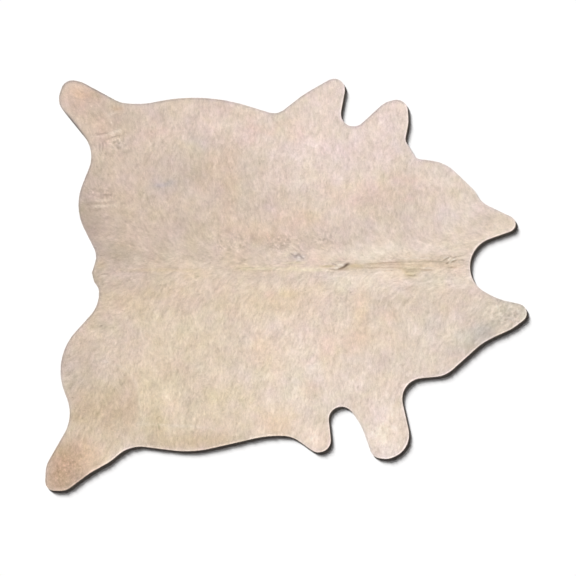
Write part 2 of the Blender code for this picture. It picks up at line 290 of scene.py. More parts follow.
# Soft shades over the areas: centre x and y, half length and half width in millimetres, how much lighter the
# coat is there in percent, and for some how much warmer and greener, and a turn in degrees
SHADES = {
    "upper hind leg and thigh": (
        (-942, 799, 110, 36, -9, -1, 0, -51), (-914, 752, 70, 36, 0, 1, 2, -51),
        (-880, 850, 90, 50, -3, 4, 0, -30), (-818, 659, 50, 60, -4, 0, -4), (-715, 602, 36, 50, -13),
        (-910, 772, 60, 40, 3, 3, -2, -40), (-937, 848, 50, 40, 0, 4, 1), (-792, 637, 36, 40, 9, 0, -3),
        (-830, 702, 50, 50, 0, 3),
    ),
    "lower hind leg and thigh": (
        (-1000, -735, 55, 80, -18, 6, 2), (-900, -715, 60, 45, 0, 5), (-680, -540, 36, 130, -6, 3),
        (-765, -573, 130, 110, -9, 3), (-838, -778, 80, 55, 20, 2, 0, 30), (-882, -215, 65, 70, 12),
        (-651, -309, 50, 50, 6), (-835, -405, 90, 110, 0, -4, -3), (-994, -800, 70, 70, -3, 6, -2),
    ),
    "tail and rump": (
        (-872, 300, 60, 110, -15), (-745, 150, 145, 36, -14, 0, 0, -10), (-820, 340, 110, 110, 0, 0, -2),
        (-827, 87, 40, 32, 12, 0, 2), (-572, 175, 50, 40, -7), (-502, 249, 120, 50, -6),
        (-735, 108, 60, 30, -9), (-700, -84, 90, 45, 0, 5, 2),
    ),
    "back and loin": (
        (-48, 187, 70, 36, -16), (-205, 38, 50, 36, -6), (-50, 205, 110, 36, 0, 4), (-450, 72, 120, 36, 12),
        (-470, -12, 110, 36, 10), (-290, -18, 60, 45, 13), (18, 56, 90, 25, 7), (-40, -76, 170, 80, 0, 7, 2),
        (-158, 241, 120, 40, 0, 3), (-225, -115, 80, 40, 0, 2, 2), (135, -25, 60, 50, -5, 5, 2),
        (-488, -67, 110, 60, 0, 0, -2),
    ),
    "withers and upper shoulder": (
        (180, 165, 60, 32, -12, 3), (519, 232, 34, 110, -8), (304, 340, 45, 50, 12),
        (680, 480, 80, 60, 9, -4, 0, -40), (704, 311, 60, 70, 0, -5, -3), (141, 109, 50, 40, 0, 4),
        (361, 395, 190, 60, 0, 2, -4), (655, 432, 60, 60, 0, 0, -4),
    ),
    "lower shoulder, chest and brisket": (
        (100, -463, 50, 50, -6, 4), (455, -133, 40, 36, 0, 5), (-79, -120, 60, 50, -6),
        (315, -248, 70, 48, -10), (304, -441, 50, 40, 5), (502, -441, 40, 40, 5), (300, -260, 60, 50, 0, 5),
        (440, -243, 80, 70, 0, 5, 3), (330, -75, 45, 70, 0, 6, 3),
    ),
    "upper ribs": (
        (-250, 440, 45, 190, 0, 4), (-364, 432, 45, 40, -2, 3), (-62, 337, 70, 60, -5, 0, -3),
        (-22, 455, 60, 60, -1, 0, -3), (158, 640, 50, 80, 7, 0, -3), (-400, 610, 60, 50, 0, -4),
        (40, 680, 50, 60, 0, 5), (60, 285, 130, 50, 0, 5), (-180, 645, 60, 60, 0, 0, -4),
        (-9, 703, 90, 60, 0, 0, 5),
    ),
    "lower ribs": (
        (190, -300, 50, 160, 0, 4), (125, -142, 50, 45, 7), (262, -205, 50, 60, 8),
        (44, -205, 70, 60, 9, 0, -3), (-40, -300, 150, 90, 3, 3), (330, -190, 45, 90, 0, 6, 2),
        (150, -243, 110, 60, 0, 0, -2),
    ),
    "upper belly and flank": (
        (-572, 770, 60, 36, -9), (-563, 483, 40, 60, -7), (-510, 637, 90, 50, 6), (-318, 700, 40, 50, 11),
        (-319, 520, 36, 70, 11, 4), (-532, 434, 60, 40, 0, -5, -2), (-264, 769, 60, 40, 0, 0, -4),
    ),
    "lower belly and flank": (
        (-572, -612, 55, 70, -18, 6, 6), (-400, -690, 235, 42, -18, 7, 4), (-385, -460, 50, 50, -5, 0, -2),
        (-110, -280, 50, 110, 0, 4), (-101, -309, 50, 36, -8), (-150, -550, 45, 50, 6),
        (-295, -412, 45, 60, 12), (-40, -419, 50, 50, 12), (-512, -530, 45, 85, 12),
        (-40, -610, 80, 60, 0, 7), (-101, -375, 50, 50, 0, 0, 4),
    ),
    "fore legs and lower elbow": (
        (517, 604, 45, 50, -6), (122, -672, 70, 60, 23), (405, -678, 50, 60, 15, -2),
        (458, -617, 70, 110, 0, 0, 3), (400, -470, 110, 90, 4), (440, -615, 80, 90, 10),
        (480, 786, 60, 40, 12, -2, -2), (392, 703, 40, 50, 7, 0, 2), (194, -507, 60, 60, 0, 0, 2),
    ),
    "mane": (
        (725, 70, 100, 34, -9, 2, -2), (540, 6, 40, 26, -9), (308, 112, 40, 36, 10), (594, 122, 40, 26, 7),
        (590, 80, 130, 26, -1, 2, 2), (517, 125, 50, 30, 0, 4), (490, 38, 70, 36, 0, 5, 3),
        (680, 20, 55, 60, 0, 0, 3),
    ),
    "neck": (
        (812, 92, 36, 40, -7), (693, -20, 40, 40, -8, 4), (814, 300, 50, 60, 0, -3),
        (865, -225, 80, 42, -16, -2, -2, 35), (660, 425, 36, 36, 6), (765, -235, 60, 40, 7),
        (730, -235, 50, 45, 12), (726, 351, 60, 40, 8), (660, -170, 50, 60, 0, -4, -3),
        (664, 56, 50, 36, -6, 4, 3), (713, 175, 40, 30, 0, 0, 3),
    ),
    "neck flaps": (
        (1050, -125, 30, 40, -5, -3, 4), (935, 290, 60, 36, -7), (980, -165, 60, 30, -6, 0, 0, 20),
        (930, 276, 80, 45, 0, 2, 3), (942, -89, 100, 50, 0, 0, 5), (836, -133, 50, 60, 0, 0, 3),
    ),
}

# Marks of the coat, each over those before: colour, share, start x and y, end x and y, bow to the left and half
# width in millimetres. The pale and dark lines that follow creases and ripples are painted light and painted
# shade
MARKS = {
    "mane": (
        ("sand", 0.35, 285, 84, 790, 84, 0, 14), ("rust", 0.6, 335, 88, 520, 96, 3, 3),
        ("moss", 0.25, 480, 94, 640, 101, 3, 4.5), ("moss", 0.45, 608, 101, 668, 101, 1, 5),
        ("moss", 0.35, 645, 99, 696, 99, 1, 4), ("rust", 0.5, 282, 71, 520, 73, 2, 2.5),
        ("moss", 0.3, 480, 72, 600, 68, -2, 4), ("rust", 0.6, 586, 69, 646, 64, -1, 3),
        ("rust", 0.35, 400, 84, 600, 85, 3, 2), ("rust", 0.45, 422, 60, 482, 60, 1, 2.5),
        ("moss", 0.7, 524, 41, 580, 40, 1, 2.6), ("olive", 0.45, 522, 26, 562, 25, 2, 3.5),
        ("moss", 0.4, 522, 58, 570, 57, 1, 2.6), ("butter", 0.5, 524, 49, 572, 49, 1, 2.6),
        ("butter", 0.5, 524, 34, 586, 32, 1, 2.6), ("butter", 0.35, 528, 75, 572, 75, 0, 2.6),
        ("milk", 0.4, 592, 75, 648, 72, 0, 2.8), ("milk", 0.4, 470, 110, 640, 116, 4, 4),
    ),
    "neck": (
        ("umber", 0.75, 688, 102, 720, 119, 1, 3), ("umber", 0.5, 714, 128, 738, 114, -1, 3),
        ("umber", 0.5, 732, 113, 753, 122, 0, 3), ("umber", 0.85, 701, 90, 721, 100, 0, 3),
        ("umber", 0.85, 722, 94, 750, 108, 1, 3), ("umber", 0.5, 745, 106, 788, 109, 1, 3),
        ("umber", 0.35, 745, 119, 788, 127, 1, 3), ("rust", 0.7, 710, 79, 754, 74, -2, 3),
        ("milk", 0.9, 710, 106, 725, 117, 0, 2.6), ("milk", 0.95, 724, 103, 750, 114, 1, 2.6),
        ("milk", 0.75, 690, 112, 713, 123, 0, 2.6), ("milk", 0.85, 716, 94, 728, 101, 0, 2.4),
    ),
    "whorl": (
        ("straw", 0.62, 262, 82, 344, 80, 2, 12), ("tan", 0.7, 226, 66, 280, 74, -2, 8),
        ("straw", 0.75, 146, 82, 218, 82, 0, 7), ("olive", 0.6, 156, 84, 206, 82, 0, 3),
        ("umber", 0.65, 180, 69, 240, 71, -2, 3), ("umber", 0.9, 226, 69, 272, 90, -3, 4.5),
        ("dark umber", 0.8, 252, 80, 279, 94, 0, 7), ("ash", 0.8, 200, 95, 224, 87, 0, 2.5),
        ("rose", 0.45, 224, 110, 258, 112, 0, 9), ("ash", 0.3, 222, 101, 266, 99, 0, 3),
        ("ash", 0.75, 275, 95, 291, 90, 0, 2.5), ("milk", 0.85, 212, 78, 232, 76, 0, 4),
        ("milk", 0.6, 226, 90, 250, 88, 0, 4),
    ),
    "back": (
        ("straw", 0.23, -270, 72, 130, 70, 0, 25), ("butter", 0.3, -230, 73, 120, 71, 0, 13),
        ("butter", 0.55, -206, 70, 5, 70, 1, 3.5), ("butter", 0.55, 20, 64, 200, 66, 2, 9),
        ("moss", 0.5, -112, 60, -24, 60, 1, 2.5), ("straw", 0.35, -760, 62, -300, 60, 3, 10),
        ("straw", 0.28, -480, 38, -320, 44, 0, 18), ("butter", 0.5, -26, 97, 96, 96, 2, 5),
        ("slate", 0.35, 2, 126, 92, 118, 0, 15), ("ash", 0.62, 16, 140, 44, 119, 1, 3.5),
        ("ash", 0.58, 38, 118, 58, 136, 1, 3.2), ("ash", 0.65, 53, 136, 80, 110, -1, 3.5),
        ("milk", 0.7, 36, 140, 46, 133, 0, 4), ("milk", 0.8, 50, 123, 62, 118, 0, 4),
        ("milk", 0.6, 44, 110, 72, 109, 0, 4), ("milk", 0.7, 72, 126, 82, 118, 0, 3.5),
        ("dusk", 0.6, 28, 153, 48, 146, 3, 3), ("dusk", 0.6, 60, 160, 72, 146, -3, 3),
    ),
    # Dark and pale lines along the tail end's wrinkles: painted shade and painted light
    "tail end and root": (
        ("dusk", 0.6, -822, 388, -750, 392, 4, 5), ("dusk", 0.32, -892, 358, -830, 352, -4, 6),
        ("dusk", 0.5, -806, 354, -742, 364, 4, 6), ("ivory", 0.45, -845, 374, -765, 376, -5, 6),
        ("dusk", 0.5, -736, 360, -672, 366, -5, 6), ("dusk", 0.5, -846, 324, -770, 340, 5, 6),
        ("dusk", 0.4, -840, 298, -752, 280, 5, 6), ("ivory", 0.45, -862, 340, -735, 346, 6, 6),
        ("dusk", 0.4, -815, 50, -780, 46, 0, 4), ("ivory", 0.4, -815, 42, -770, 40, 0, 3),
    ),
    # Pale and dark lines along the creases of the upper hind leg: painted light and painted shade
    "upper hind leg": (
        ("ivory", 0.6, -868, 652, -800, 648, 3, 5), ("ivory", 0.8, -814, 645, -722, 682, 4, 6),
        ("dusk", 0.45, -840, 662, -780, 668, -3, 4), ("dusk", 0.5, -790, 636, -716, 660, 3, 4),
        ("ivory", 0.5, -800, 741, -724, 764, 3, 7), ("rust", 0.35, -762, 772, -712, 778, 0, 8),
        ("dusk", 0.85, -821, 622, -819, 584, 0, 3.5), ("dusk", 0.8, -805, 634, -807, 590, 0, 3.5),
        ("dusk", 0.6, -791, 600, -793, 566, 0, 3), ("ivory", 0.6, -813, 618, -813, 580, 0, 3),
        ("dusk", 0.6, -776, 716, -772, 704, 0, 4), ("ivory", 0.7, -768, 718, -766, 704, 0, 4),
    ),
    # Pale and dark streaks across the ripples of the lower neck flap: painted light and painted shade
    "lower neck flap": (
        ("dusk", 0.5, 922, -64, 946, -84, 0, 6), ("milk", 0.55, 922, -88, 940, -112, 1, 4),
        ("milk", 0.5, 936, -155, 962, -156, 0, 4), ("milk", 0.6, 976, -136, 996, -154, 0, 4),
        ("milk", 0.5, 1016, -106, 1024, -128, 0, 4), ("dusk", 0.55, 1004, -112, 1018, -136, 0, 3.5),
        ("rust", 0.45, 986, -158, 1000, -176, 0, 3.5),
    ),
    # Pale lines along the creases of the lower belly and lower thigh, and a fawn one beside the latter: painted
    # light and painted shade
    "belly, flanks and lower thigh": (
        ("ivory", 0.7, -685, -615, -310, -636, 6, 7), ("olive", 0.75, -560, -612, -556, -640, 0, 5),
        ("umber", 0.45, -598, 678, -588, 672, 0, 4), ("ivory", 0.35, -875, -330, -640, -580, 95, 9),
        ("fawn", 0.4, -862, -350, -660, -590, 90, 10),
    ),
}

# Places where the hair is crimped and its pattern strong: place, strength, centre x and y, half length and half
# width in millimetres, and for some a turn in degrees
CRIMPS = (
    ("back", 0.12, -20, 178, 72, 36),
    ("back, hind side", 0.08, -240, 180, 80, 38),
    ("back, towards the ribs", 0.055, 175, 190, 50, 40),
    ("mane, curls", 0.06, 450, 118, 60, 16),
    ("tail end", 0.04, -830, 380, 80, 60),
    ("upper hind leg, root", 0.14, -739, 628, 38, 34),
    ("lower hind leg", 0.1, -970, -820, 90, 60, 40),
    ("lower neck flap", 0.11, 980, -135, 70, 50, -20),
    ("neck edge", 0.04, 740, 60, 70, 60),
)

# Places where fine strands lie side by side along the hair, with the same columns
COMBS = (
    ("mane", 0.05, 530, 84, 290, 24),
    ("mane, lower side", 0.04, 590, 40, 120, 30),
    ("back", 0.05, -40, 76, 260, 18),
    ("neck edge", 0.04, 770, 90, 60, 40),
    ("lower hind leg, root", 0.035, -860, -580, 90, 90),
    ("upper hind leg, root", 0.04, -820, 590, 50, 60),
    ("upper thigh", 0.02, -830, 480, 80, 60),
    ("belly", 0.024, -60, -470, 260, 150),
    ("lower fore leg", 0.018, 440, -590, 90, 140),
    ("upper ribs", 0.012, 150, 480, 320, 180),
)

# The last hairs along the edge: how wide the line is where they are cooler in red, green and blue, where a
# painted highlight makes them lighter as the edge faces the lit side, and where a painted shade makes them grey
# in places, with the same columns
COOL_LINE = 0.009
EDGE_COOLING = (-0.022, 0.006, 0.080)
HIGHLIGHT_LINE = 0.005
# The side whose edges get a painted highlight, and how much lighter it makes them
HIGHLIGHT_SIDE = math.radians(-45)
PAINTED_HIGHLIGHT = 0.13
EDGE_SHADE_LINE = 0.0075
# Where along the edge a thin grey line of painted shade lies
PAINTED_EDGE_SHADES = (
    ("upper hind leg, tail side", 0.95, -926, 707, 98, 50, -52),
    ("upper hind leg, belly side", 0.45, -850, 856, 120, 45, -26),
    ("upper hind leg, tip", 0.25, -985, 870, 40, 40),
)

# Ridges and troughs by place: start x and y, end x and y, bow to the left, half width, height, in millimetres
CREASES = {
    "spine, whorl and back": (
        (810, 82, 285, 94, -4, 30, 1.2), (190, 98, -790, 64, 12, 34, 1.0), (800, 118, 420, 104, 6, 14, 0.5),
        (232, 75, 275, 95, 3, 12, -1.2), (15, 135, 79, 109, -3, 12, -0.6),
    ),
    "tail end": (
        (-905, 414, -775, 403, 5, 8, 0.7), (-895, 386, -795, 377, 4, 8, 0.6),
        (-900, 356, -765, 342, 5, 8, 0.7), (-890, 324, -790, 318, 3, 8, 0.6),
    ),
    "hind legs": (
        (-855, 652, -745, 664, 4, 11, 1.0), (-868, 698, -760, 738, 5, 11, 0.7),
        (-875, -335, -640, -575, 95, 16, 0.9),
    ),
    "lower belly and fore legs": (
        (-685, -615, -310, -640, 8, 16, 0.8), (250, -500, 480, -470, 14, 18, 0.8),
        (290, 610, 490, 600, -14, 18, 0.7),
    ),
    "lower neck flap": (
        (905, -80, 880, -205, 3, 9, 0.8), (932, -86, 907, -196, 3, 9, 0.8), (959, -92, 936, -186, 3, 9, 0.8),
        (986, -97, 966, -176, 2, 9, 0.7), (1012, -103, 996, -166, 2, 9, 0.6),
    ),
}

# Broad swells: place, centre x and y, radius, height, in millimetres
SWELLS = (
    ("rump", -600, 250, 260, 0.8),
    ("back, hollow", -250, -100, 220, -0.5),
    ("belly", -100, -400, 300, 0.7),
    ("shoulder", 350, 350, 250, 0.6),
    ("neck", 800, -100, 180, 0.6),
    ("upper hind leg", -860, 760, 150, 0.8),
    ("lower thigh", -850, -400, 170, 0.9),
    ("lower fore leg", 430, -650, 110, 0.7),
)

# How the hair lies: back along the spine and more and more down each flank, as far as the last turn, which
# is nearly reached at twice the reach. Elsewhere: place, x, y and radius in millimetres, heading in degrees
SPINE_Y = 0.085
LAST_TURN = math.radians(86)
TURN_REACH = 0.13
HAIR_LIES = (
    ("upper neck flap", 940, 270, 110, 160),
    ("lower neck flap", 950, -130, 130, 200),
    ("neck edge", 790, 90, 90, 180),
    ("upper hind leg", -930, 790, 150, 128),
    ("upper thigh", -860, 480, 150, 130),
    ("tail end", -880, 280, 150, 172),
    ("lower rump", -850, -60, 130, 190),
    ("lower thigh, edge", -930, -350, 130, 225),
    ("lower hind leg, root", -820, -590, 170, 272),
    ("lower hind leg", -970, -800, 150, 250),
    ("mane, lower side", 550, 40, 70, 180),
    ("mane, towards the neck", 680, 70, 80, 184),
)
LIE_STRENGTH = 4


def linear(colour):
    """A screen colour as the light that it stands for."""
    share = np.array(colour) / 255
    return np.where(share <= 0.04045, share / 12.92, ((share + 0.055) / 1.055) ** 2.4)


# Grid and fields

grid_x = np.arange(HIDE_LOW.x - GRID_MARGIN, HIDE_HIGH.x + GRID_MARGIN, GRID_STEP)
grid_y = np.arange(HIDE_LOW.y - GRID_MARGIN, HIDE_HIGH.y + GRID_MARGIN, GRID_STEP)
GRID = np.stack(np.meshgrid(grid_x, grid_y), axis=-1)


def at(field, points):
    """The field's value at each point, blended between the grid's own."""
    across = (points[:, 0] - grid_x[0]) / GRID_STEP
    up = (points[:, 1] - grid_y[0]) / GRID_STEP
    i = np.clip(across.astype(int), 0, len(grid_x) - 2)
    j = np.clip(up.astype(int), 0, len(grid_y) - 2)
    a, b = across - i, up - j
    if field.ndim == 3:
        a, b = a[:, None], b[:, None]
    low = (1 - a) * field[j, i] + a * field[j, i + 1]
    high = (1 - a) * field[j + 1, i] + a * field[j + 1, i + 1]
    return (1 - b) * low + b * high


def even(field):
    """The field about zero, with a spread of one."""
    return (field - field.mean()) / field.std()


def cloudy(size):
    """Seeded noise with soft lumps of about that size."""
    noise = rng.standard_normal(GRID.shape[:2])
    f_up = np.fft.fftfreq(noise.shape[0], GRID_STEP)[:, None]
    f_across = np.fft.rfftfreq(noise.shape[1], GRID_STEP)[None]
    soften = np.exp(-2 * (np.pi * size / 2) ** 2 * (f_up**2 + f_across**2))
    return even(np.fft.irfft2(np.fft.rfft2(noise) * soften, noise.shape))


def clouds(shares):
    """Seeded noise of several sizes together."""
    return sum(share * cloudy(size) for size, share in shares)


def wander(size, reach):
    """How far each point of the grid is softly moved about."""
    return np.stack((cloudy(size), cloudy(size)), axis=-1) * reach


def combed(size, length):
    """Noise of that size, drawn out along the lie of the hair."""
    noise = cloudy(size)
    total = noise.copy()
    steps = round(length / GRID_STEP / 2)
    up_end, across_end = noise.shape
    for sign in (1, -1):
        up, across = np.mgrid[0:up_end, 0:across_end].astype(float)
        j, i = up.astype(int), across.astype(int)
        for step in range(1, steps + 1):
            across += sign * LIE[j, i, 0]
            up += sign * LIE[j, i, 1]
            j = np.clip(np.rint(up).astype(int), 0, up_end - 1)
            i = np.clip(np.rint(across).astype(int), 0, across_end - 1)
            total += noise[j, i] * (0.5 + 0.5 * math.cos(math.pi * step / (steps + 1)))
    return even(total)


def turned(headings, angles):
    """The headings turned to the left."""
    c, s = np.cos(angles), np.sin(angles)
    x, y = headings[..., 0], headings[..., 1]
    return np.stack((x * c - y * s, x * s + y * c), axis=-1)


def far_from(x, y, radius):
    """How many radii each point of the grid is away from a place in millimetres."""
    return np.linalg.norm(GRID - np.array((x, y)) * MM, axis=-1) / (radius * MM)


def hair_lie():
    """The way the hair lies over the grid, as unit vectors."""
    turn = math.pi - LAST_TURN * np.tanh((GRID[..., 1] - SPINE_Y) / TURN_REACH)
    total = np.stack((np.cos(turn), np.sin(turn)), axis=-1)
    for _, x, y, radius, heading in HAIR_LIES:
        turn = math.radians(heading)
        weight = LIE_STRENGTH * np.exp(-(far_from(x, y, radius) ** 2))
        total += weight[..., None] * np.array((math.cos(turn), math.sin(turn)))
    lie = turned(total, np.radians(clouds(LIE_WANDER)))
    return lie / np.linalg.norm(lie, axis=-1, keepdims=True)


def course(x1, y1, x2, y2):
    """A line's start and length, its way and the way to its left, from its ends in millimetres."""
    start, end = np.array((x1, y1)) * MM, np.array((x2, y2)) * MM
    length = np.linalg.norm(end - start)
    along = (end - start) / length
    return start, length, along, np.array((-along[1], along[0]))


def stroke(points, x1, y1, x2, y2, bow, half_width):
    """One on a bowed line, softly down to nothing at twice its half width and at its ends."""
    start, length, along, left = course(x1, y1, x2, y2)
    offset = points - start
    share = offset @ along / length
    inside = np.clip(share, 0, 1)
    aside = offset @ left - bow * MM * np.sin(np.pi * inside)
    section = np.cos(np.clip(aside / (2 * half_width * MM), -1, 1) * np.pi / 2) ** 4
    return section * np.sqrt(np.sin(np.pi * inside)) * (share == inside)


def thickness():
    """Skin and coat together over the grid, with the creases, which fade out at the edge, and the swells."""
    total = np.full(GRID.shape[:2], SKIN + COAT)
    fade = np.clip(DISTANCE / EDGE_REACH, 0, 1)
    for *line, height in rows(CREASES):
        total += height * MM * stroke(GRID, *line) * fade
    for _, x, y, radius, height in SWELLS:
        total += height * MM * (1 - np.clip(far_from(x, y, radius), 0, 1) ** 2) ** 2
    return total


def area_weight(points, x, y, half_length, half_width, turn=0):
    """One at the middle of an area, softly down outside it."""
    offset = points - np.array((x, y)) * MM
    c, s = math.cos(math.radians(turn)), math.sin(math.radians(turn))
    along = (offset[..., 0] * c + offset[..., 1] * s) / (half_length * MM)
    aside = (offset[..., 1] * c - offset[..., 0] * s) / (half_width * MM)
    return np.exp(-((along**2 + aside**2) ** AREA_ENDS))


def strengths(places):
    """How strong something is over the grid, from its places."""
    return sum(strength * area_weight(GRID, *place) for _, strength, *place in places)


def rows(table):
    """The rows of a table by place, one after another."""
    return [row for group in table.values() for row in group]


def covered(colour, name, weight):
    """The colour with a named one over it, as far as the weight says."""
    weight = weight[..., None]
    return colour * (1 - weight) + linear(HAIR[name]) * weight


def coat_colour():
    """The coat's colour from its areas and marks, with painted light and shade along creases and the edge."""
    colour = np.zeros(GRID.shape[:2] + (3,)) + linear(HAIR["cream"])
    moved = GRID + sum(wander(*noise) for noise in AREA_WANDER)
    for name, share, *place in rows(AREAS):
        colour = covered(colour, name, share * area_weight(moved, *place))
    moved = GRID + wander(*MARK_WANDER)
    for name, share, *line in rows(MARKS):
        colour = covered(colour, name, share * stroke(moved, *line))
    # Painted shade: a thin grey line along parts of the edge
    for _, share, *place in PAINTED_EDGE_SHADES:
        colour = covered(colour, "painted edge shade", share * area_weight(GRID, *place) * edge_line(EDGE_SHADE_LINE))
    return colour


def edge_line(width):
    """One at the edge and outside it, softly down to nothing inside."""
    return np.exp(-((np.maximum(DISTANCE, 0) / width) ** 2))


def edge_cooling_and_highlight():
    """The last hairs' red, green and blue: cooler, with a painted highlight by the way that the edge faces."""
    up, across = np.gradient(DISTANCE, GRID_STEP)
    facing = np.clip(-across * math.cos(HIGHLIGHT_SIDE) - up * math.sin(HIGHLIGHT_SIDE), 0, 1)
    # A painted highlight on the last hairs where the edge faces the lit side
    highlight = PAINTED_HIGHLIGHT * facing * edge_line(HIGHLIGHT_LINE)
    return 1 + highlight[..., None] + edge_line(COOL_LINE)[..., None] * EDGE_COOLING


def tone():
    """How light each spot of the coat is beside its own colour: strands, tufts, streaks and soft mottling."""
    drawn = STRAND_TONE * STRANDS + TUFT_TONE * TUFTS + STREAK_TONE * STREAKS
    soft = clouds(MOTTLING)
    return (1 + drawn + soft + (GRAIN_TONE + CRIMP) * cloudy(GRAIN))[..., None] ** TONE_SHARES


def tint():
    """How the coat wanders between pinker, greener and yellower, in soft patches."""
    green, blue = clouds(GREEN_PATCHES), clouds(BLUE_PATCHES)
    return 1 + np.stack((np.zeros_like(green), green, blue), axis=-1)


def shade(x, y, half_length, half_width, lighter, warmer=0, greener=0, turn=0):
    """How a soft shade changes the coat's red, green and blue."""
    weight = area_weight(GRID, x, y, half_length, half_width, turn)[..., None] / 100
    return 1 + weight * (lighter + warmer, lighter + greener, lighter - warmer)


def shading():
    """How all the soft shades and the coat's balance change its red, green and blue."""
    total = np.zeros(GRID.shape[:2] + (3,)) + COAT_BALANCE
    for row in rows(SHADES):
        total *= shade(*row)
    return total


def combing():
    """Fine strands side by side along the hair, light and dark, where the coat is combed."""
    return (1 + strengths(COMBS) * combed(*COMBED_NOISE))[..., None] ** TONE_SHARES


# The outline, from the solid's flesh side

def outline():
    """The hide's edge line, clockwise, with a point about every EDGE_STEP."""
    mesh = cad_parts["cowhide"].data
    places = np.empty(len(mesh.vertices) * 3)
    mesh.vertices.foreach_get("co", places)
    places = places.reshape(-1, 3)
    keys = [tuple(np.rint(place * KEYS_PER_METRE).astype(int)) for place in places]
    sides = {}
    for face in mesh.polygons:
        corners = [keys[v] for v in face.vertices]
        if all(corner[2] == 0 for corner in corners):
            for a, b in zip(corners, corners[1:] + corners[:1]):
                sides[(a, b)] = True
    line = np.array(border(sides, lambda corners: next(iter(corners))))[:, :2] / KEYS_PER_METRE
    if turning(line) > 0:
        line = line[::-1]
    line = inset(line, -FLESH_INSET)
    return rounded(line, EDGE_STEP)


def border(sides, choice):
    """The corners round the outside of the faces with these sides, in order, from a chosen one."""
    following = {a: b for a, b in sides if (b, a) not in sides}
    loop = [choice(following)]
    while following[loop[-1]] != loop[0]:
        loop.append(following[loop[-1]])
    return loop


def turning(line):
    """Twice the area inside the line, above zero where it runs anticlockwise."""
    x, y = line.T
    return np.sum(x * np.roll(y, -1) - y * np.roll(x, -1))


def inset(line, distance):
    """The clockwise line moved inwards."""
    along = np.roll(line, -1, axis=0) - np.roll(line, 1, axis=0)
    along /= np.linalg.norm(along, axis=1)[:, None]
    return line + distance * np.stack((along[:, 1], -along[:, 0]), axis=1)


def rounded(line, step):
    """A smooth closed curve through the line's points, with its own points step apart."""
    before, after, later = (np.roll(line, shift, axis=0) for shift in (1, -1, -2))
    pieces = []
    for share in np.arange(CURVE_STEPS) / CURVE_STEPS:
        pieces.append(0.5 * (2 * line + (after - before) * share
                             + (2 * before - 5 * line + 4 * after - later) * share**2
                             + (3 * line - before - 3 * after + later) * share**3))
    dense = np.stack(pieces, axis=1).reshape(-1, 2)
    closed = np.vstack((dense, dense[:1]))
    run = np.concatenate(((0,), np.cumsum(np.linalg.norm(np.diff(closed, axis=0), axis=1))))
    places = np.linspace(0, run[-1], round(run[-1] / step), endpoint=False)
    return np.stack((np.interp(places, run, closed[:, 0]), np.interp(places, run, closed[:, 1])), axis=1)


def inside_grid(line):
    """Which cells of the grid the line goes round, row by row."""
    mask = np.zeros(GRID.shape[:2], bool)
    ends = np.roll(line, -1, axis=0)
    for row, y in enumerate(grid_y):
        spans = (line[:, 1] > y) != (ends[:, 1] > y)
        a, b = line[spans], ends[spans]
        crossings = np.sort(a[:, 0] + (y - a[:, 1]) * (b[:, 0] - a[:, 0]) / (b[:, 1] - a[:, 1]))
        mask[row] = np.searchsorted(crossings, grid_x) % 2 == 1
    return mask


def edge_distance(line):
    """How far inside the edge each cell is, up to EDGE_REACH, and below zero outside."""
    dense = rounded(line, GRID_STEP / 2)
    reach = math.ceil(EDGE_REACH / GRID_STEP)
    distance = np.full(GRID.shape[:2], EDGE_REACH)
    i = np.rint((dense[:, 0] - grid_x[0]) / GRID_STEP).astype(int)
    j = np.rint((dense[:, 1] - grid_y[0]) / GRID_STEP).astype(int)
    for up in range(-reach, reach + 1):
        for across in range(-reach, reach + 1):
            jj = np.clip(j + up, 0, len(grid_y) - 1)
            ii = np.clip(i + across, 0, len(grid_x) - 1)
            gap = np.hypot(grid_x[ii] - dense[:, 0], grid_y[jj] - dense[:, 1])
            np.minimum.at(distance, (jj, ii), gap)
    return np.where(inside_grid(line), distance, -distance)


EDGE = outline()
LIE = hair_lie()
DISTANCE = edge_distance(EDGE)
STRANDS, TUFTS, STREAKS = (combed(*noise) for noise in (STRAND_NOISE, TUFT_NOISE, STREAK_NOISE))
THICKNESS = thickness()
CRIMP = strengths(CRIMPS)
# The last factor paints a highlight on the edges that face the lit side
COLOUR = coat_colour() * tone() * tint() * shading() * combing() * edge_cooling_and_highlight()


def coat_height(points):
    """The height of the coat's outside, which rounds over to the skin at the edge and droops past it."""
    inward = at(DISTANCE, points)
    share = np.clip(inward / EDGE_ROUNDING, 0, 1)
    over = LEFT_AT_EDGE + (1 - LEFT_AT_EDGE) * np.sin(share * math.pi / 2)
    rough = TUFT_HEIGHT * at(TUFTS, points) + STREAK_HEIGHT * at(STREAKS, points)
    rough *= np.clip(inward / EDGE_REACH, 0, 1)
    return SKIN + (at(THICKNESS, points) + rough - SKIN) * over + DROOP * np.minimum(inward, 0)


# Meshes

def mesh_object(name, places, triangles, materials):
    """An object from arrays of places and of triangles' corners, shaded smooth."""
    mesh = bpy.data.meshes.new(name)
    mesh.vertices.add(len(places))
    mesh.vertices.foreach_set("co", places.astype(np.float32).ravel())
    mesh.loops.add(triangles.size)
    mesh.loops.foreach_set("vertex_index", triangles.astype(np.int32).ravel())
    mesh.polygons.add(len(triangles))
    mesh.polygons.foreach_set("loop_start", np.arange(0, triangles.size, 3, dtype=np.int32))
    mesh.update(calc_edges=True)
    mesh.shade_smooth()
    for material in materials:
        mesh.materials.append(material)
    piece = bpy.data.objects.new(name, mesh)
    bpy.context.scene.collection.objects.link(piece)
    return piece


def paint(mesh, colours):
    """Each point's own colour."""
    layer = mesh.color_attributes.new("coat_colour", "FLOAT_COLOR", "POINT")
    rgba = np.ones((len(colours), 4), np.float32)
    rgba[:, :3] = colours
    layer.data.foreach_set("color", rgba.ravel())


def lay_out(mesh, name, corners):
    """A UV map from the place of each triangle's corner on it."""
    layer = mesh.uv_layers.new(name=name)
    layer.data.foreach_set("uv", corners.astype(np.float32).ravel())


